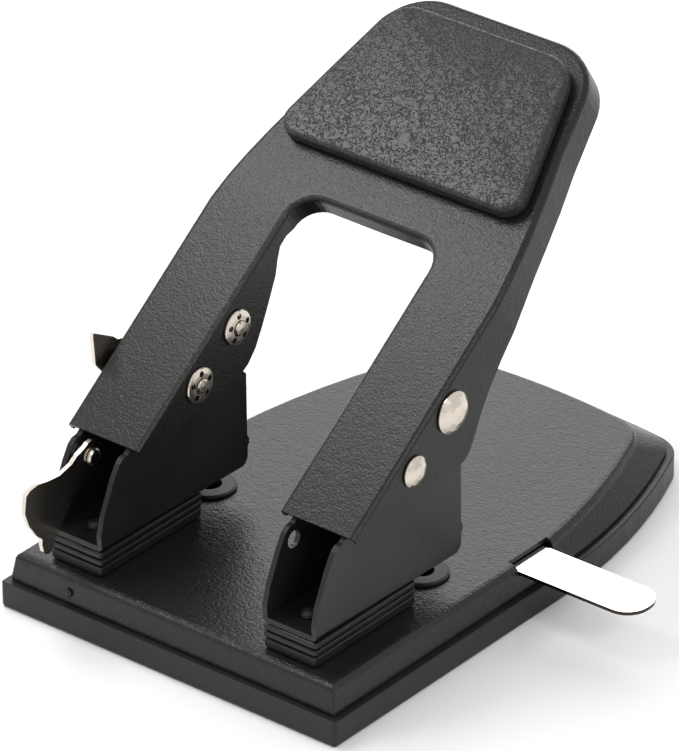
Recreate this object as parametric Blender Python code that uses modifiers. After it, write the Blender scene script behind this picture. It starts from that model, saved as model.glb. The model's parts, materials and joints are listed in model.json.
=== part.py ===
"""Two-hole paper punch with a padded arch handle.

Frame: +X to the right of the punch, +Y towards the paper table, +Z up. The origin lies on the
resting plane, halfway between the two punches. Lengths are written in millimetres and turned
into metres by MM.
"""
import math

import bmesh
import bpy
from mathutils import Matrix, Vector

MM = 0.001
GAP = 0.3  # clearance between neighbouring pieces

# Driving dimensions, in millimetres.
HOLE_SPACING = 69.85
TOWER_X = HOLE_SPACING / 2
FRONT = -59.0  # front edge of the base
REAR = 105.3  # rear edge of the base
BASE_HALF_WIDTH = 54.9
COVER_HEIGHT = 7.4
COVER_WALL = 2.4
COVER_FLOOR = 2.0
TABLE_TOP = 15.4  # upper face of the base plate
TABLE_HALF_WIDTH = 52.3
SHEET = 1.2  # steel sheet of the base plate
FOLD = 2.2  # outer radius of the base plate's fold
FOOT_INSET = 2.0  # the base plate's foot stands this far in from the cover's edge

LOWER_SPACER = 2.7
SPACER = 1.75
SPACER_FRONT = -52.3
SPACER_REAR = -12.6
SLOT_TOP = TABLE_TOP + LOWER_SPACER + 2 * SPACER + 4 * GAP  # lower face of the brackets' floor

BRACKET_HALF_WIDTH = 8.6
BRACKET_SHEET = 1.5
FLOOR_TOP = SLOT_TOP + BRACKET_SHEET
SCREW_Y = (-44.5, -20.5)

PIVOT = (-17.4, 57.4)  # Y and Z of the handle's pivot
DRIVE = (-2.4, 67.5)  # Y and Z of the drive pins, handle up
LOCK_PIVOT = (-41.4, 42.1)  # Y and Z of the lock lever's rivet
PIVOT_PIN_RADIUS = 2.5
DRIVE_PIN_RADIUS = 3.0

PUNCH_RADIUS = 3.1
PUNCH_HEAD_RADIUS = 5.6
PUNCH_HEAD = 2.8
PUNCH_TOP = DRIVE[1] - DRIVE_PIN_RADIUS - GAP
PUNCH_BOTTOM = SLOT_TOP + GAP
GUIDE_TOP = 31.0
DIE_FLANGE_TOP = TABLE_TOP + GAP + 0.7

# The handle is laid out flat, in its own plane: x across, s up the slope from the arm tips,
# h above the sheet's outer face.
HANDLE_TIP = (-41.1, 48.6)  # Y and Z of the arm tips
HANDLE_SLOPE = math.radians(35.9)
HANDLE_SHEET = 1.0
HANDLE_FOLD = 1.3  # outer radius of the handle's folds
ARM_OUTER = 46.6
ARM_INNER = 23.0
WINDOW_END = 79.8
HANDLE_LENGTH = 143.7
BEND_START = 70.0
BEND_END = 85.0
BEND_ANGLE = math.radians(3.8)
PAD_THICKNESS = 4.8

PAPER_GUIDE_Y = (18.0, 32.0)
PAPER_GUIDE_X = (22.0, 88.0)
PAPER_GUIDE_TOP = TABLE_TOP - SHEET - 0.4
PAPER_GUIDE_THICKNESS = 1.0
CHANNEL_X = (30.0, 46.0)

FRONT_RIVET = (-33.7, FRONT + 2.5, 10.8)

NAME = "hole_punch"

for old in list(bpy.data.objects):
    bpy.data.objects.remove(old, do_unlink=True)

PARTS = bpy.data.collections.new(NAME)
CUTTERS = bpy.data.collections.new(NAME + "_cutters")
bpy.context.scene.collection.children.link(PARTS)
bpy.context.scene.collection.children.link(CUTTERS)


# ---------------------------------------------------------------- materials

def material(name, colour, metallic, roughness):
    """A Principled BSDF with one colour."""
    made = bpy.data.materials.new(name)
    made.use_nodes = True
    shader = made.node_tree.nodes["Principled BSDF"]
    shader.inputs["Base Color"].default_value = (*colour, 1.0)
    shader.inputs["Metallic"].default_value = metallic
    shader.inputs["Roughness"].default_value = roughness
    made.diffuse_color = (*colour, 1.0)
    return made


WRINKLE_PAINT = material("wrinkle_paint", (0.030, 0.029, 0.028), 0.0, 0.45)
SATIN_PAINT = material("satin_paint", (0.022, 0.021, 0.022), 0.0, 0.40)
COVER_PLASTIC = material("cover_plastic", (0.024, 0.024, 0.026), 0.0, 0.42)
PAD_VINYL = material("pad_vinyl", (0.028, 0.027, 0.027), 0.0, 0.55)
NICKEL = material("nickel", (0.70, 0.64, 0.56), 1.0, 0.22)
CHROME = material("chrome", (0.80, 0.80, 0.80), 1.0, 0.08)
ZINC = material("zinc", (0.52, 0.52, 0.50), 1.0, 0.35)
TOOL_STEEL = material("tool_steel", (0.42, 0.42, 0.42), 1.0, 0.30)
BLACKENED_STEEL = material("blackened_steel", (0.050, 0.048, 0.047), 0.6, 0.38)


# ---------------------------------------------------------------- building blocks

def add(name, mesh, surface=None, collection=PARTS):
    """Put a mesh in the scene as a named object."""
    made = bpy.data.objects.new(name, mesh)
    if surface is not None:
        mesh.materials.append(surface)
    collection.objects.link(made)
    return made


def as_cutter(made):
    """Turn an object into one that only cuts."""
    for collection in made.users_collection:
        collection.objects.unlink(made)
    CUTTERS.objects.link(made)
    made.hide_render = True
    made.display_type = "WIRE"
    return made


def cut(target, cutter):
    """Subtract a cutter from a piece."""
    step = target.modifiers.new("cut_" + cutter.name, "BOOLEAN")
    step.operation = "DIFFERENCE"
    step.object = cutter
    return step


def smooth(mesh, angle=35.0):
    """Smooth the round stretches and keep the edges sharp."""
    mesh.shade_smooth()
    mesh.set_sharp_from_angle(angle=math.radians(angle))


def set_origin(made, point):
    """Move an object's origin to a point, given in millimetres, without moving its mesh."""
    offset = Vector(point) * MM
    made.data.transform(Matrix.Translation(-offset))
    made.location = offset


def box(name, low, high, surface=None):
    """A plain block between two corners."""
    bm = bmesh.new()
    bmesh.ops.create_cube(bm, size=1.0)
    size = [(b - a) * MM for a, b in zip(low, high)]
    centre = [(a + b) / 2 * MM for a, b in zip(low, high)]
    bmesh.ops.scale(bm, vec=size, verts=bm.verts)
    bmesh.ops.translate(bm, vec=centre, verts=bm.verts)
    mesh = bpy.data.meshes.new(name)
    bm.to_mesh(mesh)
    bm.free()
    return add(name, mesh, surface)


def cylinder(name, radius, length, centre, axis="Z", segments=32, surface=None):
    """A cylinder about an axis, centred on a point."""
    bm = bmesh.new()
    bmesh.ops.create_cone(bm, cap_ends=True, segments=segments, radius1=radius * MM,
                          radius2=radius * MM, depth=length * MM)
    if axis == "X":
        bmesh.ops.rotate(bm, verts=bm.verts, matrix=Matrix.Rotation(math.pi / 2, 3, "Y"))
    if axis == "Y":
        bmesh.ops.rotate(bm, verts=bm.verts, matrix=Matrix.Rotation(math.pi / 2, 3, "X"))
    bmesh.ops.translate(bm, verts=bm.verts, vec=[c * MM for c in centre])
    mesh = bpy.data.meshes.new(name)
    bm.to_mesh(mesh)
    bm.free()
    smooth(mesh)
    return add(name, mesh, surface)


def turned(name, profile, surface, steps=32):
    """A solid turned about its local Z.

    The profile is a list of (radius, z). It runs down the outer side; a bored piece closes it up
    the bore, and a solid one starts and ends on the axis.
    """
    mesh = bpy.data.meshes.new(name)
    closed = profile[0][0] > 0 and profile[-1][0] > 0
    count = len(profile)
    edges = [(i, (i + 1) % count) for i in range(count if closed else count - 1)]
    mesh.from_pydata([(r * MM, 0, z * MM) for r, z in profile], edges, [])
    made = add(name, mesh, surface)
    screw = made.modifiers.new("turn", "SCREW")
    screw.axis = "Z"
    screw.steps = steps
    screw.render_steps = steps
    screw.use_merge_vertices = True
    screw.merge_threshold = 0.00001
    screw.use_smooth_shade = False
    return made


def flat(name, outline, thickness, surface, holes=()):
    """A flat plate in its local XY plane, centred on it, from an outline and its holes."""
    curve = bpy.data.curves.new(name + "_outline", "CURVE")
    curve.dimensions = "2D"
    curve.fill_mode = "BOTH"
    curve.extrude = thickness * MM / 2
    for loop in (outline, *holes):
        spline = curve.splines.new("POLY")
        spline.points.add(len(loop) - 1)
        for point, (x, y) in zip(spline.points, loop):
            point.co = (x * MM, y * MM, 0, 1)
        spline.use_cyclic_u = True
    source = bpy.data.objects.new(name + "_outline", curve)
    PARTS.objects.link(source)
    bpy.context.view_layer.update()
    evaluated = source.evaluated_get(bpy.context.evaluated_depsgraph_get())
    mesh = bpy.data.meshes.new_from_object(evaluated)
    mesh.name = name
    mesh.materials.clear()
    bpy.data.objects.remove(source, do_unlink=True)
    bm = bmesh.new()
    bm.from_mesh(mesh)
    bmesh.ops.remove_doubles(bm, verts=bm.verts, dist=0.000001)
    bmesh.ops.recalc_face_normals(bm, faces=bm.faces)
    bm.to_mesh(mesh)
    bm.free()
    return add(name, mesh, surface)


def stand_up(made, x):
    """Turn a flat plate so that its local X, Y and Z point along Y, Z and X, at a given X."""
    made.data.transform(Matrix(((0, 0, 1, x * MM), (1, 0, 0, 0), (0, 1, 0, 0), (0, 0, 0, 1))))
    smooth(made.data)
    return made


def arc(centre, radius, start, end, steps):
    """Points along an arc, with angles in degrees."""
    points = []
    for i in range(steps + 1):
        angle = math.radians(start + (end - start) * i / steps)
        points.append((centre[0] + radius * math.cos(angle), centre[1] + radius * math.sin(angle)))
    return points


def circle(centre, radius, steps=24):
    """Points around a circle."""
    return arc(centre, radius, 0, 360, steps)[:-1]


def rounded(corners, steps=4):
    """A closed outline whose corners, given as (x, y, radius), are rounded."""
    points = []
    count = len(corners)
    for i, (x, y, radius) in enumerate(corners):
        here = Vector((x, y))
        if radius == 0:
            points.append((x, y))
            continue
        before = (Vector(corners[i - 1][:2]) - here).normalized()
        after = (Vector(corners[(i + 1) % count][:2]) - here).normalized()
        half = before.angle(after) / 2
        reach = radius / math.tan(half)
        centre = here + (before + after).normalized() * radius / math.sin(half)
        first = here + before * reach - centre
        last = here + after * reach - centre
        turn = first.angle_signed(last)
        for k in range(steps + 1):
            spoke = first.copy()
            spoke.rotate(Matrix.Rotation(-turn * k / steps, 2))
            points.append(tuple(centre + spoke))
    return points


# ---------------------------------------------------------------- base outlines

def circles_meet(centre_a, radius_a, centre_b, radius_b):
    """The crossing of two circles that lies to the right and to the rear."""
    a = Vector(centre_a)
    b = Vector(centre_b)
    span = (b - a).length
    along = (radius_a ** 2 - radius_b ** 2 + span ** 2) / (2 * span)
    off = math.sqrt(radius_a ** 2 - along ** 2)
    unit = (b - a) / span
    options = [a + unit * along + Vector((-unit.y, unit.x)) * off * side for side in (1, -1)]
    return max(options, key=lambda p: p.x)


def dish(half_width, front, front_radius, straight_end, side_radius, rear, rear_radius,
         corner_radius):
    """Outline of the base at one level: square front, bowed sides and a rounded rear.

    It has the same number of points whatever the sizes, so that two of them can be lofted.
    """
    side_centre = (half_width - side_radius, straight_end)
    rear_centre = (0.0, rear - rear_radius)
    corner = circles_meet(side_centre, side_radius - corner_radius,
                          rear_centre, rear_radius - corner_radius)
    side_angle = math.degrees(math.atan2(corner.y - side_centre[1], corner.x - side_centre[0]))
    rear_angle = math.degrees(math.atan2(corner.y - rear_centre[1], corner.x - rear_centre[0]))
    half = arc((half_width - front_radius, front + front_radius), front_radius, -90, 0, 3)
    half += arc(side_centre, side_radius, 0, side_angle, 8)
    half += arc(corner, corner_radius, side_angle, rear_angle, 8)[1:]
    half += arc(rear_centre, rear_radius, rear_angle, 90, 4)[1:]
    return half + [(-x, y) for x, y in reversed(half[:-1])]


def cover_outline(inset=0.0):
    """Outline of the bottom cover, drawn in by an inset."""
    return dish(BASE_HALF_WIDTH - inset, FRONT + inset, max(1.0 - inset, 0.3), 29.5,
                172.0 - inset, REAR - inset, 280.0 - inset, 11.0 - inset)


def table_outline(inset=0.0):
    """Outline of the paper table, drawn in by an inset."""
    return dish(TABLE_HALF_WIDTH - inset, FRONT + 2.5 + inset, max(0.8 - inset, 0.3), 9.5,
                200.0 - inset, REAR - 9.0 - inset, 200.0 - inset, 14.0 - inset)


def lofted(name, levels, surface):
    """A closed body through outlines of the same length, each at its own height.

    The first and the last outline are closed by a face.
    """
    bm = bmesh.new()
    rings = [[bm.verts.new((x * MM, y * MM, z * MM)) for x, y in outline]
             for outline, z in levels]
    for low, high in zip(rings, rings[1:]):
        for i in range(len(low)):
            j = (i + 1) % len(low)
            bm.faces.new((low[i], low[j], high[j], high[i]))
    bm.faces.new(list(reversed(rings[0])))
    bm.faces.new(rings[-1])
    mesh = bpy.data.meshes.new(name)
    bm.to_mesh(mesh)
    bm.free()
    smooth(mesh, 50.0)
    return add(name, mesh, surface)


def bevel_edges(bm, edges, width, segments=3):
    """Round a set of edges."""
    bmesh.ops.bevel(bm, geom=edges, offset=width * MM, offset_type="OFFSET", segments=segments,
                    profile=0.5, affect="EDGES", clamp_overlap=False)


def thicken(made, thickness):
    """Give an open surface its thickness, on the inner side."""
    shell = made.modifiers.new("sheet", "SOLIDIFY")
    shell.thickness = thickness * MM
    shell.offset = -1.0
    shell.use_even_offset = True
    return shell


# ---------------------------------------------------------------- base

def bottom_cover():
    """A shallow pan that closes the base and catches the chips."""
    return lofted("bottom_cover", [
        (cover_outline(0.8), 0.0),
        (cover_outline(0.25), 0.25),
        (cover_outline(), 0.8),
        (cover_outline(), COVER_HEIGHT - 0.3),
        (cover_outline(0.3), COVER_HEIGHT),
        (cover_outline(COVER_WALL), COVER_HEIGHT),
        (cover_outline(COVER_WALL), COVER_FLOOR),
    ], COVER_PLASTIC)


def base_plate():
    """The stamped steel base: flat on top, its walls folded down and flared at the rear."""
    foot = COVER_HEIGHT + GAP
    lip = foot + 0.8
    inner_fold = FOLD - SHEET
    turns = [math.radians(degrees) for degrees in (0, 22.5, 45, 67.5, 90)]
    levels = [(table_outline(SHEET + inner_fold * (1 - math.cos(turn))),
               TABLE_TOP - SHEET - inner_fold * (1 - math.sin(turn))) for turn in reversed(turns)]
    levels += [(cover_outline(FOOT_INSET + SHEET), lip), (cover_outline(FOOT_INSET + SHEET), foot)]
    levels += [(cover_outline(FOOT_INSET), foot), (cover_outline(FOOT_INSET), lip)]
    levels += [(table_outline(FOLD * (1 - math.cos(turn))),
                TABLE_TOP - FOLD * (1 - math.sin(turn))) for turn in turns]
    made = lofted("base_plate", levels, WRINKLE_PAINT)
    for side in (-1, 1):
        cut(made, as_cutter(cylinder("die_hole", 5.3, 12, (side * TOWER_X, 0, TABLE_TOP))))
        for y in SCREW_Y:
            cut(made, as_cutter(cylinder("base_screw_hole", 1.9, 12,
                                         (side * TOWER_X, y, TABLE_TOP), segments=20)))
    slot_bottom = PAPER_GUIDE_TOP - PAPER_GUIDE_THICKNESS - GAP
    cut(made, as_cutter(box("guide_slot", (48.6, PAPER_GUIDE_Y[0] - 0.3, slot_bottom),
                            (62.0, PAPER_GUIDE_Y[1] + 1.5, TABLE_TOP + 1))))
    cut(made, as_cutter(cylinder("front_hole", 0.9, 8, FRONT_RIVET, "Y", segments=16)))
    return made


def front_rivet():
    """A small rivet in the front wall that holds the catch of the cover."""
    made = turned("front_rivet", [
        (0, 1.35),
        (0.7, 1.2),
        (1.2, 0.75),
        (1.2, 0.55),
        (0.6, 0.55),
        (0.6, -1.5),
        (1.2, -1.5),
        (1.2, -1.8),
        (0.7, -2.2),
        (0, -2.3),
    ], NICKEL, 20)
    made.rotation_euler = (math.pi / 2, 0, 0)
    made.location = Vector(FRONT_RIVET) * MM
    return made


def die(side, name):
    """A hardened bush in the base with a flange on top; its bore widens for the chips."""
    made = turned(name, [
        (PUNCH_RADIUS + 0.2, DIE_FLANGE_TOP),
        (6.6, DIE_FLANGE_TOP),
        (7.2, DIE_FLANGE_TOP - 0.35),
        (7.2, TABLE_TOP + GAP),
        (5.0, TABLE_TOP + GAP),
        (5.0, 9.5),
        (3.9, 9.5),
        (3.9, 12.6),
        (PUNCH_RADIUS + 0.2, 12.8),
    ], BLACKENED_STEEL)
    made.location.x = side * TOWER_X * MM
    return made


def strip(inset, half_width):
    """Outline of a spacer plate, drawn in by an inset."""
    side = half_width - inset
    front = SPACER_FRONT + inset
    rear = SPACER_REAR - inset
    radius = max(1.0 - inset, 0.5)
    return rounded([(-side, front, radius), (side, front, radius), (side, rear, radius),
                    (-side, rear, radius)], 2)


def spacer(side, name, bottom, thickness, half_width):
    """One plate of the stack under a bracket; its rear end is the paper's stop."""
    top = bottom + thickness
    made = lofted(name, [
        (strip(0.45, half_width), bottom),
        (strip(0.13, half_width), bottom + 0.13),
        (strip(0.0, half_width), bottom + 0.45),
        (strip(0.0, half_width), top - 0.45),
        (strip(0.13, half_width), top - 0.13),
        (strip(0.45, half_width), top),
    ], SATIN_PAINT)
    made.location.x = side * TOWER_X * MM
    for y in SCREW_Y:
        cut(made, as_cutter(cylinder(name + "_hole", 1.9, 10, (side * TOWER_X, y, bottom),
                                     segments=20)))
    return made


# ---------------------------------------------------------------- towers

def bracket_side():
    """Outline of a bracket's side plate, from the front foot round to the rear foot."""
    outline = [(-51.9, SLOT_TOP), (-52.3, 27.5), (-50.9, 32.6), (-46.8, 41.4), (-44.5, 45.2)]
    outline += [(-43.0, 46.3), (-41.3, 46.5)]
    outline += arc(PIVOT, 5.3, 126, 20, 8)
    outline += [(-7.6, 52.0), (-4.9, 50.6)]
    outline += [(4.1, 50.6), (5.2, 49.4), (5.2, 31.4), (5.9, 30.2), (5.9, 28.9), (5.3, 27.9)]
    outline += [(5.3, 26.6)]
    outline += arc((2.5, SLOT_TOP + 2.8), 2.8, -10, -90, 4)
    return outline


def bracket(side, name):
    """A U-shaped tower: two side plates on a floor."""
    bm = bmesh.new()
    outline = bracket_side()
    plates = {}
    for x in (BRACKET_HALF_WIDTH, -BRACKET_HALF_WIDTH):
        plates[x] = [bm.verts.new((x * MM, y * MM, z * MM)) for y, z in outline]
    right = plates[BRACKET_HALF_WIDTH]
    left = plates[-BRACKET_HALF_WIDTH]
    bm.faces.new(list(reversed(right)))
    bm.faces.new(left)
    bm.faces.new((right[0], left[0], left[-1], right[-1]))
    bmesh.ops.recalc_face_normals(bm, faces=bm.faces)
    if max(bm.faces, key=lambda f: f.normal.z).normal.z > 0.5:
        bmesh.ops.reverse_faces(bm, faces=bm.faces)
    foot = [edge for edge in bm.edges
            if all(abs(v.co.z - SLOT_TOP * MM) < 1e-6 for v in edge.verts)
            and abs(edge.verts[0].co.x - edge.verts[1].co.x) < 1e-6]
    bevel_edges(bm, foot, 1.7)
    mesh = bpy.data.meshes.new(name)
    bm.to_mesh(mesh)
    bm.free()
    smooth(mesh)
    made = add(name, mesh, SATIN_PAINT)
    thicken(made, BRACKET_SHEET)
    made.location.x = side * TOWER_X * MM
    x = side * TOWER_X
    cut(made, as_cutter(cylinder(name + "_punch_hole", 4.2, 8, (x, 0, SLOT_TOP))))
    for y in SCREW_Y:
        cut(made, as_cutter(cylinder(name + "_screw_hole", 1.9, 8, (x, y, SLOT_TOP), segments=20)))
    cut(made, as_cutter(cylinder(name + "_pivot_hole", PIVOT_PIN_RADIUS + 0.1, 30,
                                 (x, *PIVOT), "X")))
    cut(made, as_cutter(cylinder(name + "_lock_hole", 2.4, 6,
                                 (x - BRACKET_HALF_WIDTH, *LOCK_PIVOT), "X")))
    return made


def screw(side, name, y):
    """A pan-head screw through bracket, spacers and base."""
    made = turned(name, [
        (0, 26.1),
        (1.3, 25.9),
        (2.1, 25.3),
        (2.3, FLOOR_TOP + GAP),
        (1.6, FLOOR_TOP + GAP),
        (1.6, 10.2),
        (1.3, 9.8),
        (0, 9.8),
    ], BLACKENED_STEEL, 20)
    made.location = (side * TOWER_X * MM, y * MM, 0)
    return made


def nut(side, name, y):
    """A hexagon nut on a bracket screw, under the base."""
    hexagon = circle((0, 0), 3.3, 6)
    made = flat(name, hexagon, 2.6, ZINC, [circle((0, 0), 1.9, 20)])
    smooth(made.data)
    top = TABLE_TOP - SHEET - GAP
    made.location = (side * TOWER_X * MM, y * MM, (top - 1.3) * MM)
    return made


def punch(side, name):
    """The cutting rod, with a head under the drive pin."""
    made = turned(name, [
        (0, PUNCH_TOP),
        (PUNCH_HEAD_RADIUS - 0.6, PUNCH_TOP),
        (PUNCH_HEAD_RADIUS, PUNCH_TOP - 0.6),
        (PUNCH_HEAD_RADIUS, PUNCH_TOP - PUNCH_HEAD),
        (PUNCH_RADIUS, PUNCH_TOP - PUNCH_HEAD),
        (PUNCH_RADIUS, PUNCH_BOTTOM),
        (2.2, PUNCH_BOTTOM),
        (0, PUNCH_BOTTOM + 0.9),
    ], TOOL_STEEL)
    made.location.x = side * TOWER_X * MM
    return made


def punch_guide(side, name):
    """A bush in the bracket's floor that keeps the punch upright and seats its spring."""
    made = turned(name, [
        (PUNCH_RADIUS + 0.2, GUIDE_TOP),
        (5.2, GUIDE_TOP),
        (5.2, FLOOR_TOP + GAP),
        (3.9, FLOOR_TOP + GAP),
        (3.9, SLOT_TOP + 0.2),
        (PUNCH_RADIUS + 0.2, SLOT_TOP + 0.2),
    ], ZINC)
    made.location.x = side * TOWER_X * MM
    return made


def return_spring(side, name):
    """An open coil between the guide bush and the punch head."""
    wire = 0.5
    radius = 4.5
    turns = 7
    per_turn = 12
    low = GUIDE_TOP + 0.2 + wire
    high = PUNCH_TOP - PUNCH_HEAD - 0.2 - wire
    curve = bpy.data.curves.new(name, "CURVE")
    curve.dimensions = "3D"
    curve.bevel_depth = wire * MM
    curve.bevel_resolution = 2
    curve.use_fill_caps = True
    spline = curve.splines.new("POLY")
    count = turns * per_turn + 1
    spline.points.add(count - 1)
    for i, point in enumerate(spline.points):
        along = i / (count - 1)
        angle = 2 * math.pi * turns * along
        closing = along - 0.11 * math.sin(2 * math.pi * along)
        z = low + (high - low) * closing
        point.co = (radius * math.cos(angle) * MM, radius * math.sin(angle) * MM, z * MM, 1)
    made = bpy.data.objects.new(name, curve)
    curve.materials.append(ZINC)
    PARTS.objects.link(made)
    made.location.x = side * TOWER_X * MM
    return made


# ---------------------------------------------------------------- handle

def on_handle(x, s, h):
    """World position, in millimetres, of a point laid out on the flat handle."""
    bend_radius = (BEND_END - BEND_START) / BEND_ANGLE
    if s > BEND_START:
        angle = min((s - BEND_START) / bend_radius, BEND_ANGLE)
        beyond = max(s - BEND_END, 0.0)
        run = BEND_START + (bend_radius + h) * math.sin(angle) + beyond * math.cos(angle)
        rise = -bend_radius + (bend_radius + h) * math.cos(angle) - beyond * math.sin(angle)
    else:
        run = s
        rise = h
    y = HANDLE_TIP[0] + run * math.cos(HANDLE_SLOPE) - rise * math.sin(HANDLE_SLOPE)
    z = HANDLE_TIP[1] + run * math.sin(HANDLE_SLOPE) + rise * math.cos(HANDLE_SLOPE)
    return Vector((x, y, z))


def handle_outer_edge():
    """Right half of the handle's outer outline: (x, s, depth of its folded wall)."""
    arm = [(0.0, 2.6), (6.0, 6.0), (12.0, 9.6), (18.7, 13.6), (25.0, 17.2), (31.0, 20.6)]
    arm += [(35.5, 23.0), (37.6, 23.7), (40.5, 23.2), (44.5, 21.2), (49.0, 18.8), (54.5, 16.6)]
    arm += [(62.0, 14.3), (70.0, 12.5)]
    edge = [(ARM_OUTER, s, depth) for s, depth in arm]
    edge += [(45.8, 77.5, 11.2), (44.6, 85.0, 10.3), (43.0, 93.0, 10.0), (40.4, 104.0, 10.0)]
    edge += [(37.4, 115.0, 10.0)]
    edge += [(x, s, 9.6) for x, s in arc((18.0, HANDLE_LENGTH - 16.5), 16.5, 10, 90, 10)]
    return edge


def handle_window_edge():
    """Right half of the window's outline, from the middle of its rear side to the arm tip."""
    radius = 7.5
    corner = (ARM_INNER - radius, WINDOW_END - radius)
    edge = [(0.0, WINDOW_END, 6.5)]
    edge += [(x, s, 6.3) for x, s in arc(corner, radius, 90, 0, 8)]
    arm = [(69.0, 5.1), (66.0, 5.2), (63.0, 7.4), (60.0, 10.2), (54.0, 13.7), (48.0, 17.0)]
    arm += [(43.0, 19.4), (38.6, 20.4)]
    arm += [(35.5, 20.1), (31.0, 18.7), (25.0, 16.2), (18.7, 13.0), (12.0, 9.4), (6.0, 6.0)]
    arm += [(0.0, 2.6)]
    return edge + [(ARM_INNER, s, depth) for s, depth in arm]


def mirrored(points):
    """The left half of an outline, in reverse order."""
    return [(-x, s, depth) for x, s, depth in reversed(points)]


def handle():
    """One pressed sheet: two channel arms, joined above by the panel under the pad."""
    bm = bmesh.new()
    outer = handle_outer_edge() + mirrored(handle_outer_edge())
    window = mirrored(handle_window_edge())[:-1] + handle_window_edge()
    loop = outer + window
    top = [bm.verts.new((x, s, 0)) for x, s, _ in loop]
    face = bm.faces.new(top)
    fold_edges = []
    for run in (range(len(outer) - 1), range(len(outer), len(loop) - 1)):
        foot = {i: bm.verts.new((loop[i][0], loop[i][1], -loop[i][2])) for i in
                (*run, run[-1] + 1)}
        for i in run:
            bm.faces.new((top[i + 1], top[i], foot[i], foot[i + 1]))
            fold_edges.append(bm.edges.get((top[i], top[i + 1])))
    bmesh.ops.recalc_face_normals(bm, faces=bm.faces)
    if face.normal.z < 0:
        bmesh.ops.reverse_faces(bm, faces=bm.faces)
    bmesh.ops.bevel(bm, geom=fold_edges, offset=HANDLE_FOLD, offset_type="OFFSET", segments=3,
                    profile=0.5, affect="EDGES", clamp_overlap=False)
    bmesh.ops.triangulate(bm, faces=[f for f in bm.faces if len(f.verts) > 4])
    steps = 3
    for i in range(steps + 1):
        s = BEND_START + (BEND_END - BEND_START) * i / steps
        bmesh.ops.bisect_plane(bm, geom=bm.verts[:] + bm.edges[:] + bm.faces[:], dist=0.02,
                               plane_co=(0, s, 0), plane_no=(0, 1, 0))
    for vert in bm.verts:
        vert.co = (on_handle(*vert.co) - Vector((0, *PIVOT))) * MM
    mesh = bpy.data.meshes.new("handle")
    bm.to_mesh(mesh)
    bm.free()
    smooth(mesh, 50.0)
    made = add("handle", mesh, WRINKLE_PAINT)
    made.location = Vector((0, *PIVOT)) * MM
    thicken(made, HANDLE_SHEET)
    cut(made, as_cutter(cylinder("handle_pivot_holes", PIVOT_PIN_RADIUS + GAP, 120,
                                 (0, *PIVOT), "X")))
    cut(made, as_cutter(cylinder("handle_drive_holes", DRIVE_PIN_RADIUS + GAP, 120,
                                 (0, *DRIVE), "X")))
    return made


def handle_pad():
    """A soft pad on the handle's upper panel."""
    half = [(0.0, 92.2)]
    half += arc((32.9, 97.7), 5.5, -90, 8, 5)
    half += [(36.6, 105.5), (33.6, 117.5)]
    half += arc((20.6, 127.8), 10.0, 12, 90, 5)
    outline = half + [(-x, s) for x, s in reversed(half[1:])]
    made = flat("handle_pad", outline, PAD_THICKNESS, PAD_VINYL)
    bm = bmesh.new()
    bm.from_mesh(made.data)
    for vert in bm.verts:
        height = vert.co.z / MM + PAD_THICKNESS / 2 + GAP
        vert.co = (on_handle(vert.co.x / MM, vert.co.y / MM, height) - Vector((0, *PIVOT))) * MM
    bm.to_mesh(made.data)
    bm.free()
    made.location = Vector((0, *PIVOT)) * MM
    round_top(made)
    return made


def round_top(made):
    """Round the pad's upper rim."""
    bm = bmesh.new()
    bm.from_mesh(made.data)
    up = Vector((0, -math.sin(HANDLE_SLOPE - BEND_ANGLE), math.cos(HANDLE_SLOPE - BEND_ANGLE)))
    bmesh.ops.dissolve_limit(bm, angle_limit=math.radians(1), verts=bm.verts, edges=bm.edges)
    lid = max(bm.faces, key=lambda f: f.calc_center_median().dot(up))
    bevel_edges(bm, list(lid.edges), 1.6, 3)
    bm.to_mesh(made.data)
    bm.free()
    smooth(made.data)


# ---------------------------------------------------------------- pins

def pin(side, name, centre, radius, head_radius, head_face, rise):
    """A domed pin along X through one arm, its head outboard and a thin neck inboard.

    It is turned about Z with the head up, then laid along X; lengths count from the arm's middle.
    """
    inboard = TOWER_X - ARM_INNER
    neck = 2.0
    made = turned(name, [
        (0, head_face + rise),
        (head_radius * 0.45, head_face + rise * 0.86),
        (head_radius * 0.8, head_face + rise * 0.52),
        (head_radius, head_face + 0.35),
        (head_radius, head_face),
        (radius, head_face),
        (radius, -inboard - 0.2),
        (neck, -inboard - 0.2),
        (neck, -inboard - 1.4),
        (neck - 0.4, -inboard - 1.7),
        (0, -inboard - 1.8),
    ], NICKEL, 28)
    made.rotation_euler = (0, side * math.pi / 2, 0)
    made.location = (side * TOWER_X * MM, centre[0] * MM, centre[1] * MM)
    return made


def push_on_washer(side, name, centre):
    """A dished star washer, pushed onto a pin's neck against the arm's inboard wall."""
    seat = TOWER_X - ARM_INNER + GAP
    made = turned(name, [
        (2.3, -seat - 0.3),
        (2.3, -seat - 0.9),
        (3.4, -seat - 0.85),
        (4.7, -seat - 0.6),
        (4.9, -seat - 0.3),
        (4.9, -seat),
        (4.6, -seat),
        (3.4, -seat - 0.2),
    ][::-1], NICKEL, 28)
    made.rotation_euler = (0, side * math.pi / 2, 0)
    made.location = (side * TOWER_X * MM, centre[0] * MM, centre[1] * MM)
    x = side * (ARM_INNER - GAP)
    for i in range(5):
        angle = math.radians(72 * i + 18)
        y = centre[0] + 3.35 * math.cos(angle)
        z = centre[1] + 3.35 * math.sin(angle)
        cut(made, as_cutter(cylinder(name + "_slot", 0.85, 5, (x, y, z), "X", segments=10)))
    return made


# ---------------------------------------------------------------- lock

LEVER_X = (-39.3, -38.1)
TAB_X = (-49.0, -47.8)


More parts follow.
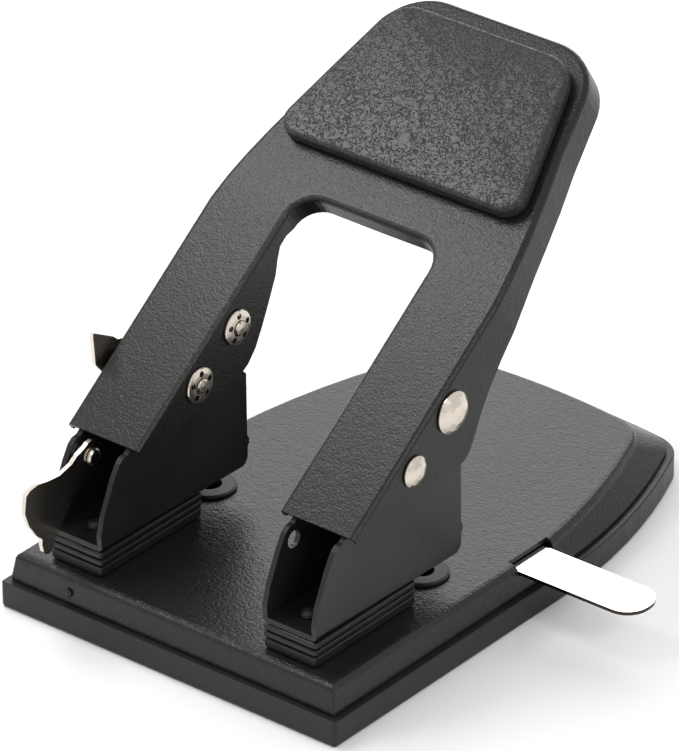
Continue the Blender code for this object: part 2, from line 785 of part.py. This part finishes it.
def lock_lever():
    """A flat lever inside the left tower, with a wing that reaches out of its open front."""
    outline = arc(LOCK_PIVOT, 4.6, 130, -70, 10)
    outline += [(-44.8, 36.3), (-49.9, 32.6), (-53.4, 28.6), (-55.7, 25.8), (-57.1, 23.9)]
    outline += arc((-58.9, 23.6), 2.0, 0, -160, 5)
    outline += [(-61.3, 25.2), (-61.2, 26.8), (-63.2, 29.0), (-65.9, 32.6), (-67.4, 37.0)]
    outline += [(-66.7, 41.8), (-65.1, 42.8), (-61.9, 43.2), (-58.5, 42.5), (-53.9, 42.1)]
    outline += [(-49.3, 43.2), (-47.0, 44.7)]
    made = flat("lock_lever", outline, LEVER_X[1] - LEVER_X[0], CHROME,
                [circle(LOCK_PIVOT, 1.9, 24)])
    stand_up(made, sum(LEVER_X) / 2)
    set_origin(made, (0, *LOCK_PIVOT))
    return made


def lock_rivet():
    """The lever's rivet: its head outboard of the tower, a collar inside."""
    made = turned("lock_rivet", [
        (0, -10.0),
        (2.5, -9.6),
        (3.5, -8.9),
        (3.5, -8.65),
        (2.1, -8.65),
        (2.1, -4.65),
        (1.6, -4.65),
        (1.6, -2.9),
        (2.3, -2.9),
        (2.3, -2.5),
        (1.9, -2.1),
        (1.4, -1.9),
        (0, -1.9),
    ][::-1], NICKEL, 24)
    made.rotation_euler = (0, math.pi / 2, 0)
    made.location = (-TOWER_X * MM, LOCK_PIVOT[0] * MM, LOCK_PIVOT[1] * MM)
    return made


def lock_tab():
    """A thumb tab outboard of the left arm, turning on the end of the pivot pin."""
    outline = arc(PIVOT, 5.0, 60, -130, 10)
    outline += [(-25.4, 55.6), (-28.3, 59.2), (-29.0, 68.0), (-28.6, 68.5), (-21.1, 64.3)]
    outline += [(-19.6, 62.9)]
    made = flat("lock_tab", outline, TAB_X[1] - TAB_X[0], CHROME,
                [circle(PIVOT, PIVOT_PIN_RADIUS + 0.1, 24)])
    stand_up(made, sum(TAB_X) / 2)
    set_origin(made, (0, *PIVOT))
    return made


# ---------------------------------------------------------------- paper guide

def paper_guide():
    """A flat tongue that slides out sideways from under the paper table."""
    x0, x1 = PAPER_GUIDE_X
    y0, y1 = PAPER_GUIDE_Y
    corners = [(x0, y0, 0), (x1, y0, 6.4), (x1, y1, 6.4), (x0, y1, 0)]
    made = flat("paper_guide", rounded(corners, 6), PAPER_GUIDE_THICKNESS, CHROME)
    smooth(made.data)
    middle = PAPER_GUIDE_TOP - PAPER_GUIDE_THICKNESS / 2
    made.location = (0, 0, middle * MM)
    return made


def guide_channel():
    """A folded strap under the base plate that holds the paper guide."""
    bm = bmesh.new()
    y0 = PAPER_GUIDE_Y[0] - 1.7
    y1 = PAPER_GUIDE_Y[1] + 1.7
    bottom = PAPER_GUIDE_TOP - PAPER_GUIDE_THICKNESS - 0.4 - 1.0
    top = TABLE_TOP - SHEET - GAP
    ends = []
    for x in CHANNEL_X:
        profile = [(y0, top), (y0, bottom), (y1, bottom), (y1, top)]
        ends.append([bm.verts.new((x * MM, y * MM, z * MM)) for y, z in profile])
    for i in range(3):
        bm.faces.new((ends[0][i], ends[0][i + 1], ends[1][i + 1], ends[1][i]))
    bmesh.ops.recalc_face_normals(bm, faces=bm.faces)
    if min(bm.faces, key=lambda f: f.calc_center_median().z).normal.z > 0:
        bmesh.ops.reverse_faces(bm, faces=bm.faces)
    mesh = bpy.data.meshes.new("guide_channel")
    bm.to_mesh(mesh)
    bm.free()
    made = add("guide_channel", mesh, ZINC)
    thicken(made, 1.0)
    return made


# ---------------------------------------------------------------- assembly

def build():
    """Make every piece."""
    bottom_cover()
    base_plate()
    front_rivet()
    handle()
    handle_pad()
    for side, word in ((-1, "left"), (1, "right")):
        die(side, word + "_die")
        lower = TABLE_TOP + GAP
        middle = lower + LOWER_SPACER + GAP
        spacer(side, word + "_spacer_lower", lower, LOWER_SPACER, BRACKET_HALF_WIDTH - 0.2)
        spacer(side, word + "_spacer_middle", middle, SPACER, BRACKET_HALF_WIDTH)
        spacer(side, word + "_spacer_upper", middle + SPACER + GAP, SPACER, BRACKET_HALF_WIDTH)
        bracket(side, word + "_bracket")
        for y, place in zip(SCREW_Y, ("front", "rear")):
            screw(side, f"{word}_{place}_screw", y)
            nut(side, f"{word}_{place}_nut", y)
        punch(side, word + "_punch")
        punch_guide(side, word + "_punch_guide")
        return_spring(side, word + "_return_spring")
        beyond_arm = ARM_OUTER - TOWER_X + GAP
        beyond_tab = -TAB_X[0] - TOWER_X + GAP
        pivot_face = beyond_tab if side < 0 else beyond_arm
        pin(side, word + "_pivot_pin", PIVOT, PIVOT_PIN_RADIUS, 4.2, pivot_face, 1.9)
        pin(side, word + "_drive_pin", DRIVE, DRIVE_PIN_RADIUS, 5.7, beyond_arm, 2.4)
        push_on_washer(side, word + "_pivot_washer", PIVOT)
        push_on_washer(side, word + "_drive_washer", DRIVE)
    lock_lever()
    lock_rivet()
    lock_tab()
    paper_guide()
    guide_channel()


build()
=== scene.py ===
"""Looks for the two-hole paper punch: materials, detailed pieces, light and camera."""

import json
import math

import bmesh
import bpy
from mathutils import Matrix, Vector, noise

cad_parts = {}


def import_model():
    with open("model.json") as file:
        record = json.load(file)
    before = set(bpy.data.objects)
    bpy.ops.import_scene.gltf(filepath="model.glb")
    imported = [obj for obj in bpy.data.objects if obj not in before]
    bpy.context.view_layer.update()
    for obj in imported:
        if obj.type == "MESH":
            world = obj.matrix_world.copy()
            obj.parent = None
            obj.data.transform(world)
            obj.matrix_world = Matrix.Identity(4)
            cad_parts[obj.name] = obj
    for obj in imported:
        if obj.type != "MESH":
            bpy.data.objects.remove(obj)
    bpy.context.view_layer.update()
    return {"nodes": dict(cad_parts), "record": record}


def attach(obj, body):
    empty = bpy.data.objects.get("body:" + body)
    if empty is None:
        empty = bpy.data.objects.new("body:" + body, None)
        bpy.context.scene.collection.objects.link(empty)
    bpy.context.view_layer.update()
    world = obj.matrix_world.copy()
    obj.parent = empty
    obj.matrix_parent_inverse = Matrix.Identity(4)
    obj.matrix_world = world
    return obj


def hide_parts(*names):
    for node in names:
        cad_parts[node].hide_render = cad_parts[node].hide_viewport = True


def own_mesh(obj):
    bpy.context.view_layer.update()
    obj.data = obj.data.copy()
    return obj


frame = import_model()
NODES = frame["nodes"]

# Blender's own startup objects have no place in the scene.
for startup in ("Cube", "Light", "Camera"):
    if startup in bpy.data.objects:
        bpy.data.objects.remove(bpy.data.objects[startup], do_unlink=True)


# ---------------------------------------------------------------- materials

# Places of the colour sockets on a Mix node, which has number and vector sockets as well.
MIX_AMOUNT = 0
MIX_FIRST = 6
MIX_SECOND = 7
MIX_RESULT = 2


class Shader:
    """A node tree with short ways to add and link nodes."""

    def __init__(self, name):
        self.material = bpy.data.materials.new(name)
        self.material.use_nodes = True
        self.tree = self.material.node_tree
        self.main = self.tree.nodes["Principled BSDF"]
        self.place = self.add("ShaderNodeTexCoord").outputs["Object"]

    def add(self, kind, **values):
        node = self.tree.nodes.new(kind)
        for key, value in values.items():
            setattr(node, key, value)
        return node

    def link(self, source, target):
        self.tree.links.new(source, target)

    def set(self, **values):
        """Set the shader's own sockets, whose names have spaces in place of underscores."""
        for key, value in values.items():
            self.main.inputs[key.replace("_", " ")].default_value = value

    def noise(self, scale, detail=4.0, roughness=0.55, distortion=0.0):
        """Noise over the object's own metres; the scale is in features per metre."""
        node = self.add("ShaderNodeTexNoise")
        node.inputs["Scale"].default_value = scale
        node.inputs["Detail"].default_value = detail
        node.inputs["Roughness"].default_value = roughness
        node.inputs["Distortion"].default_value = distortion
        self.link(self.place, node.inputs["Vector"])
        return node.outputs["Fac"]

    def math(self, operation, first, second=0.0):
        node = self.add("ShaderNodeMath", operation=operation)
        for socket, value in zip(node.inputs, (first, second)):
            if isinstance(value, (int, float)):
                socket.default_value = value
            else:
                self.link(value, socket)
        return node.outputs[0]

    def between(self, value, source, target):
        """The value carried over smoothly from one range, low and high, to another."""
        node = self.add("ShaderNodeMapRange", interpolation_type="SMOOTHSTEP")
        self.link(value, node.inputs["Value"])
        for socket, number in zip(("From Min", "From Max", "To Min", "To Max"), (*source, *target)):
            node.inputs[socket].default_value = number
        return node.outputs["Result"]

    def mix(self, amount, first, second):
        """One colour at an amount of 0 and the other at 1."""
        node = self.add("ShaderNodeMix", data_type="RGBA")
        self.link(amount, node.inputs[MIX_AMOUNT])
        node.inputs[MIX_FIRST].default_value = (*first, 1.0)
        node.inputs[MIX_SECOND].default_value = (*second, 1.0)
        return node.outputs[MIX_RESULT]

    def colour(self, socket):
        self.link(socket, self.main.inputs["Base Color"])

    def roughness(self, socket):
        self.link(socket, self.main.inputs["Roughness"])

    def bump(self, height, distance, strength=1.0):
        """Relief as deep as the distance, in metres, where the height runs from 0 to 1."""
        node = self.add("ShaderNodeBump")
        node.inputs["Strength"].default_value = strength
        node.inputs["Distance"].default_value = distance
        self.link(height, node.inputs["Height"])
        self.link(node.outputs["Normal"], self.main.inputs["Normal"])


def scaled(colour, factor):
    return tuple(c * factor for c in colour)


def pebbled_paint(name, size, height, tone, shine, gloss):
    """Black enamel over steel with pebbles of the given size and height, in metres."""
    s = Shader(name)
    s.set(Specular_IOR_Level=shine)
    pebbles = s.noise(1.0 / size, detail=1.5, roughness=0.5, distortion=0.6)
    bend = s.noise(0.3 / size, detail=2.0)
    broad = s.noise(35.0)
    s.colour(s.mix(broad, scaled(tone, 0.8), scaled(tone, 1.25)))
    uneven = s.math("ADD", pebbles, s.math("MULTIPLY", broad, 0.4))
    s.roughness(s.between(uneven, (0.4, 0.9), gloss))
    s.bump(s.math("ADD", pebbles, s.math("MULTIPLY", bend, 0.6)), height)
    return s.material


def satin_paint():
    """Smooth satin black enamel with a faint cloudiness and a trace of orange peel."""
    s = Shader("satin_enamel")
    s.set(Specular_IOR_Level=0.36)
    broad = s.noise(70.0)
    peel = s.noise(800.0, detail=2.0)
    s.colour(s.mix(broad, (0.0095, 0.009, 0.0095), (0.0150, 0.0140, 0.0145)))
    s.roughness(s.between(broad, (0.3, 0.7), (0.26, 0.38)))
    s.bump(peel, 0.00003)
    return s.material


def cover_plastic():
    """Moulded black plastic with a fine matte texture."""
    s = Shader("moulded_black")
    s.set(Specular_IOR_Level=0.34)
    broad = s.noise(45.0)
    matte = s.noise(1600.0, detail=2.0)
    s.colour(s.mix(broad, (0.010, 0.010, 0.011), (0.016, 0.016, 0.017)))
    s.roughness(s.between(matte, (0.3, 0.7), (0.34, 0.46)))
    s.bump(matte, 0.00003)
    return s.material


def pad_vinyl():
    """Soft black vinyl with a leather grain: small flat plates between fine creases, with shade painted
    dark into the creases.
    """
    s = Shader("grained_vinyl")
    s.set(Specular_IOR_Level=0.36)
    drift = s.noise(160.0, detail=3.0)
    swell = s.noise(760.0, detail=1.0, roughness=0.5, distortion=0.9)
    # A crease runs wherever the swell crosses its middle value.
    from_middle = s.math("ABSOLUTE", s.math("SUBTRACT", swell, 0.5))
    plates = s.between(from_middle, (0.0, 0.055), (0.0, 1.0))
    waves = s.math("MULTIPLY", s.math("ADD", drift, swell), 1.2)
    # Painted shade: the creases are coloured near black and the plates lighter, in place of the shade
    # that falls into the creases.
    s.colour(s.mix(plates, (0.004, 0.004, 0.004), (0.028, 0.0274, 0.0268)))
    s.roughness(s.between(plates, (0.0, 1.0), (0.52, 0.36)))
    s.bump(s.math("ADD", plates, waves), 0.00012)
    return s.material


def plated(name, colour, gloss, scale, metal=1.0):
    """A smooth metal finish: slight colour drift, finely uneven gloss and a soft ripple."""
    s = Shader(name)
    s.set(Metallic=metal)
    broad = s.noise(scale, detail=3.0)
    fine = s.noise(scale * 16, detail=2.0)
    s.colour(s.mix(broad, scaled(colour, 0.86), colour))
    s.roughness(s.between(fine, (0.3, 0.7), gloss))
    s.bump(broad, 0.0003, strength=0.08)
    return s.material


def plated_strip():
    """Bright plate on a flat strip whose sheared edges are left dull and brown."""
    s = Shader("plated_strip")
    s.set(Metallic=1.0)
    parts = s.add("ShaderNodeSeparateXYZ")
    s.link(s.add("ShaderNodeTexCoord").outputs["Normal"], parts.inputs["Vector"])
    flat = s.between(s.math("ABSOLUTE", parts.outputs["Z"]), (0.3, 0.8), (0.0, 1.0))
    s.colour(s.mix(flat, (0.060, 0.046, 0.038), (0.88, 0.87, 0.86)))
    s.roughness(s.between(s.noise(1200.0, detail=2.0), (0.3, 0.7), (0.06, 0.14)))
    return s.material


HANDLE_TONE = (0.010, 0.0097, 0.0093)
TABLE_TONE = (0.011, 0.0108, 0.0106)
MATERIALS = {
    "wrinkle_paint": pebbled_paint("fine_pebbled_enamel", size=0.00062, height=0.00012,
                                   tone=HANDLE_TONE, shine=0.30, gloss=(0.27, 0.33)),
    "satin_paint": satin_paint(),
    "cover_plastic": cover_plastic(),
    "pad_vinyl": pad_vinyl(),
    "nickel": plated("nickel_plate", (0.76, 0.69, 0.60), (0.20, 0.26), 120.0),
    "chrome": plated("chrome_plate", (0.86, 0.85, 0.84), (0.05, 0.14), 80.0),
    "zinc": plated("zinc_plate", (0.60, 0.59, 0.56), (0.28, 0.46), 150.0),
    "tool_steel": plated("ground_steel", (0.46, 0.46, 0.46), (0.24, 0.40), 150.0),
    "blackened_steel": plated("oil_black_steel", (0.011, 0.011, 0.011), (0.44, 0.56), 150.0, metal=0.0),
}
TABLE_PAINT = pebbled_paint("soft_pebbled_enamel", size=0.00090, height=0.00015,
                            tone=TABLE_TONE, shine=0.36, gloss=(0.27, 0.34))
# The lock lever and tab get a warm brownish tint painted into their plate colour, a painted brownish
# reflection.
REFLECTION_TINTED_PLATE = plated("reflection_tinted_plate", (0.76, 0.70, 0.63), (0.21, 0.27), 90.0)

for part in frame["record"]["subparts"]:
    mesh = NODES[part["node"]].data
    mesh.materials.clear()
    mesh.materials.append(MATERIALS[part["material_slot"]])
NODES["base_plate"].data.materials[0] = TABLE_PAINT
NODES["front_rivet"].data.materials[0] = MATERIALS["blackened_steel"]
NODES["paper_guide"].data.materials[0] = plated_strip()
NODES["lock_lever"].data.materials[0] = REFLECTION_TINTED_PLATE
NODES["lock_tab"].data.materials[0] = REFLECTION_TINTED_PLATE


# ---------------------------------------------------------------- mesh helpers

def arc(centre, radius, start, end, steps):
    """Points along an arc, with angles in degrees."""
    points = []
    for i in range(steps + 1):
        angle = math.radians(start + (end - start) * i / steps)
        points.append((centre[0] + radius * math.cos(angle), centre[1] + radius * math.sin(angle)))
    return points


def bridge(bm, rings):
    """Join each ring of vertices to the next with a band of faces."""
    for low, high in zip(rings, rings[1:]):
        count = len(low)
        for i in range(count):
            j = (i + 1) % count
            bm.faces.new((low[i], low[j], high[j], high[i]))


def smooth_object(name, bm, material):
    """Turn a finished bmesh into a smooth-shaded object in the scene."""
    mesh = bpy.data.meshes.new(name)
    bm.to_mesh(mesh)
    bm.free()
    mesh.shade_smooth()
    mesh.materials.append(material)
    made = bpy.data.objects.new(name, mesh)
    bpy.context.scene.collection.objects.link(made)
    return made


# ---------------------------------------------------------------- handle pad

# The panel under the pad: a point on it in Y and Z, its slope, and the distance up the slope of
# that point. The pad is laid out flat on it: x across, s up the slope, h above the panel.
PANEL_SLOPE = math.radians(32.1)
PANEL_POINT = (0.02804, 0.09803)
PANEL_START = 0.085

# The outline's right half in x and s: two round corners and the flank between them.
PAD_FRONT = 0.0922
PAD_FRONT_CORNER = (0.0329, 0.0977)
PAD_FRONT_RADIUS = 0.0055
PAD_FLANK = [(0.0366, 0.1055), (0.0336, 0.1175)]
PAD_REAR_CORNER = (0.0206, 0.1278)
PAD_REAR_RADIUS = 0.0100
PAD_CENTRE = Vector((0.0, 0.1145))
PAD_SPACING = 0.0010

# Heights above the panel, the rounding of the rim, and the foot's insets and heights.
PAD_SEAT = 0.0003
PAD_RIM = 0.0045
PAD_CROWN = 0.0009
PAD_ROLL = 0.0013
PAD_FOOT = [(0.0006, PAD_SEAT), (0.0002, PAD_SEAT + 0.0003), (0.0, PAD_SEAT + 0.0011)]
PAD_TOP_RINGS = 30

# The modelled grain: features per metre, the depth of its creases and how narrow they are; the
# height of the slow swells under them; and the warp that bends them. Their scales are shares of
# the grain's.
GRAIN_SCALE = 700.0
GRAIN_DEPTH = 0.00005
GRAIN_NARROWING = 2.2
SWELL_HEIGHT = 0.00006
SWELL_SCALE = 0.3
WARP_REACH = 1.1
WARP_SCALE = 0.45
WARP_SEED = 1


def on_panel(x, s, h):
    """World position of a point laid out on the handle's upper panel."""
    run = s - PANEL_START
    y = PANEL_POINT[0] + run * math.cos(PANEL_SLOPE) - h * math.sin(PANEL_SLOPE)
    z = PANEL_POINT[1] + run * math.sin(PANEL_SLOPE) + h * math.cos(PANEL_SLOPE)
    return Vector((x, y, z))


def pad_outline():
    """The pad's outline as evenly spaced points in x and s, running counter-clockwise."""
    half = [(0.0, PAD_FRONT)]
    half += arc(PAD_FRONT_CORNER, PAD_FRONT_RADIUS, -90, 8, steps=8)
    half += PAD_FLANK
    half += arc(PAD_REAR_CORNER, PAD_REAR_RADIUS, 12, 90, steps=10)
    corners = [Vector(p) for p in half + [(-x, s) for x, s in reversed(half[1:])]]
    points = []
    for here, after in zip(corners, corners[1:] + corners[:1]):
        steps = max(1, round((after - here).length / PAD_SPACING))
        points += [here.lerp(after, i / steps) for i in range(steps)]
    return points


def inward(points):
    """Unit vectors that point into a counter-clockwise outline."""
    count = len(points)
    made = []
    for i in range(count):
        along = points[(i + 1) % count] - points[i - 1]
        made.append(Vector((-along.y, along.x)).normalized())
    return made


def grain_height(x, s):
    """Height of the leather grain that is deep enough to be modelled."""
    spot = Vector((x, s, 0.0)) * GRAIN_SCALE
    warp = noise.noise_vector(spot * WARP_SCALE) * WARP_REACH
    crease = max(1.0 - abs(noise.noise(spot + warp)) * GRAIN_NARROWING, 0.0) ** 3
    return -GRAIN_DEPTH * crease + SWELL_HEIGHT * noise.noise(spot * SWELL_SCALE)


def padded_handle():
    """The soft pad: rolled rim, sides that pull in at the foot and a crowned, grained top."""
    # noise_vector starts from the clock unless it is seeded.
    noise.seed_set(WARP_SEED)
    outline = pad_outline()
    normal = inward(outline)
    side = PAD_FOOT + [(0.0, PAD_RIM - PAD_ROLL)]
    for degrees in range(15, 90, 15):
        turn = math.radians(degrees)
        side.append((PAD_ROLL * (1 - math.cos(turn)), PAD_RIM - PAD_ROLL * (1 - math.sin(turn))))
    bm = bmesh.new()
    rings = []
    for inset, h in side:
        rings.append([bm.verts.new(on_panel(*(p + n * inset), h)) for p, n in zip(outline, normal)])
    for k in range(PAD_TOP_RINGS):
        reach = k / PAD_TOP_RINGS
        crown = PAD_CROWN * (1 - (1 - reach) ** 2)
        # The grain fades in over the first two rings, so the rim stays smooth.
        fade = min(1.0, k / 2)
        ring = []
        for p, n in zip(outline, normal):
            flat = (p + n * PAD_ROLL).lerp(PAD_CENTRE, reach)
            ring.append(bm.verts.new(on_panel(*flat, PAD_RIM + crown + fade * grain_height(*flat))))
        rings.append(ring)
    bridge(bm, rings)
    tip = bm.verts.new(on_panel(*PAD_CENTRE, PAD_RIM + PAD_CROWN))
    count = len(outline)
    for i in range(count):
        bm.faces.new((rings[-1][i], rings[-1][(i + 1) % count], tip))
    bm.faces.new(list(reversed(rings[0])))
    made = smooth_object("grip_pad", bm, MATERIALS["pad_vinyl"])
    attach(made, "handle")
    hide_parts("handle_pad")


padded_handle()


# ---------------------------------------------------------------- return springs

# A coil's foot stands on its punch guide. Its steps are for each turn, its sides are the wire's,
# and its closing is how far the end turns crowd together, as a share of the coil's rise.
SPRING_FOOT = 0.0312
SPRING_LENGTH = 0.0300
SPRING_RADIUS = 0.0045
SPRING_WIRE = 0.0005
SPRING_TURNS = 7
SPRING_STEPS = 24
SPRING_SIDES = 8
SPRING_CLOSING = 0.11
PUNCH_X = 0.034925


def return_spring(side, x):
    """An open coil with closed-up ends."""
    count = SPRING_TURNS * SPRING_STEPS + 1
    low = SPRING_FOOT + SPRING_WIRE
    rise = SPRING_LENGTH - 2 * SPRING_WIRE
    bm = bmesh.new()
    rings = []
    for i in range(count):
        along = i / (count - 1)
        turn = 2 * math.pi * SPRING_TURNS * along
        height = low + rise * (along - SPRING_CLOSING * math.sin(2 * math.pi * along))
        ring = []
        for angle in (2 * math.pi * k / SPRING_SIDES for k in range(SPRING_SIDES)):
            reach = SPRING_RADIUS + SPRING_WIRE * math.cos(angle)
            ring.append(bm.verts.new((x + reach * math.cos(turn), reach * math.sin(turn),
                                      height + SPRING_WIRE * math.sin(angle))))
        rings.append(ring)
    bridge(bm, rings)
    bm.faces.new(list(reversed(rings[0])))
    bm.faces.new(rings[-1])
    bmesh.ops.recalc_face_normals(bm, faces=bm.faces)
    made = smooth_object(side + "_coil", bm, MATERIALS["zinc"])
    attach(made, "base")
    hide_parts(side + "_return_spring")
    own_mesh(made)


return_spring("left", -PUNCH_X)
return_spring("right", PUNCH_X)


# ---------------------------------------------------------------- floor, light and camera

FLOOR_REACH = 3.0
SURROUND_BRIGHTNESS = 0.80

# The camera looks at the aim from an azimuth, measured from -Y towards +X, and an elevation,
# both in radians, and is then slid sideways and up in its own plane.
CAMERA_AIM = Vector((0.0, 0.0015, 0.050))
CAMERA_AZIMUTH = 0.690
CAMERA_ELEVATION = 0.516
CAMERA_ROLL = -0.010
CAMERA_DISTANCE = 2.0
CAMERA_SLIDE = (0.00571, 0.008484)
CAMERA_SENSOR_MM = 36.0
CAMERA_LENS_MM = 379.6


def floor():
    """A wide pale sheet under the punch."""
    mesh = bpy.data.meshes.new("floor")
    r = FLOOR_REACH
    mesh.from_pydata([(-r, -r, 0), (r, -r, 0), (r, r, 0), (-r, r, 0)], [], [(0, 1, 2, 3)])
    made = bpy.data.objects.new("floor", mesh)
    bpy.context.scene.collection.objects.link(made)
    s = Shader("floor_paper")
    s.set(Specular_IOR_Level=0.1, Roughness=0.9)
    s.colour(s.mix(s.noise(3.0, detail=2.0), (0.96, 0.96, 0.96), (0.98, 0.98, 0.98)))
    mesh.materials.append(s.material)


def area_light(name, place, target, size, power, upright=(0.0, 0.0, 1.0)):
    """A soft rectangular light facing a point; its height runs along the given upright."""
    data = bpy.data.lights.new(name, "AREA")
    data.shape = "RECTANGLE"
    data.size, data.size_y = size
    data.energy = power
    made = bpy.data.objects.new(name, data)
    bpy.context.scene.collection.objects.link(made)
    back = (Vector(place) - Vector(target)).normalized()
    across = Vector(upright).cross(back).normalized()
    turn = Matrix((across, back.cross(across), back)).transposed()
    made.matrix_world = Matrix.Translation(place) @ turn.to_4x4()


def camera():
    """The camera, from its direction, roll, distance and the point it looks at."""
    ground = math.cos(CAMERA_ELEVATION)
    back = Vector((math.sin(CAMERA_AZIMUTH) * ground, -math.cos(CAMERA_AZIMUTH) * ground,
                   math.sin(CAMERA_ELEVATION)))
    level = Vector((math.cos(CAMERA_AZIMUTH), math.sin(CAMERA_AZIMUTH), 0.0))
    upright = back.cross(level)
    right = level * math.cos(CAMERA_ROLL) + upright * math.sin(CAMERA_ROLL)
    up = upright * math.cos(CAMERA_ROLL) - level * math.sin(CAMERA_ROLL)
    data = bpy.data.cameras.new("camera")
    data.sensor_width = CAMERA_SENSOR_MM
    data.lens = CAMERA_LENS_MM
    data.clip_start = 0.1
    data.clip_end = 20.0
    made = bpy.data.objects.new("camera", data)
    bpy.context.scene.collection.objects.link(made)
    turn = Matrix((right, up, back)).transposed()
    place = CAMERA_AIM + back * CAMERA_DISTANCE + right * CAMERA_SLIDE[0] + up * CAMERA_SLIDE[1]
    made.matrix_world = Matrix.Translation(place) @ turn.to_4x4()
    bpy.context.scene.camera = made


def world():
    """An even pale surround."""
    made = bpy.data.worlds.new("surround")
    bpy.context.scene.world = made
    made.use_nodes = True
    background = made.node_tree.nodes["Background"]
    background.inputs["Color"].default_value = (1.0, 1.0, 1.0, 1.0)
    background.inputs["Strength"].default_value = SURROUND_BRIGHTNESS


floor()
world()
# The two sheens are reflected by the flat of the table and of the handle, and the two glints pick
# out the folds on the right and in front.
area_light("table_sheen", place=(-0.30, 0.54, 0.34), target=(0.0, 0.05, 0.015),
           size=(0.50, 0.42), power=1.25)
area_light("handle_sheen", place=(-0.165, -0.034, 0.344), target=(0.001, 0.043, 0.107),
           size=(0.20, 0.12), power=0.55, upright=(0.145, 0.90, 0.396))
area_light("fold_glint", place=(0.79, -0.12, 0.67), target=(0.0, 0.0, 0.07),
           size=(0.26, 0.20), power=1.3)
area_light("front_glint", place=(-0.52, -0.52, 0.66), target=(0.0, -0.05, 0.02),
           size=(0.30, 0.14), power=0.45)
camera()
bpy.context.scene.view_settings.view_transform = "Standard"
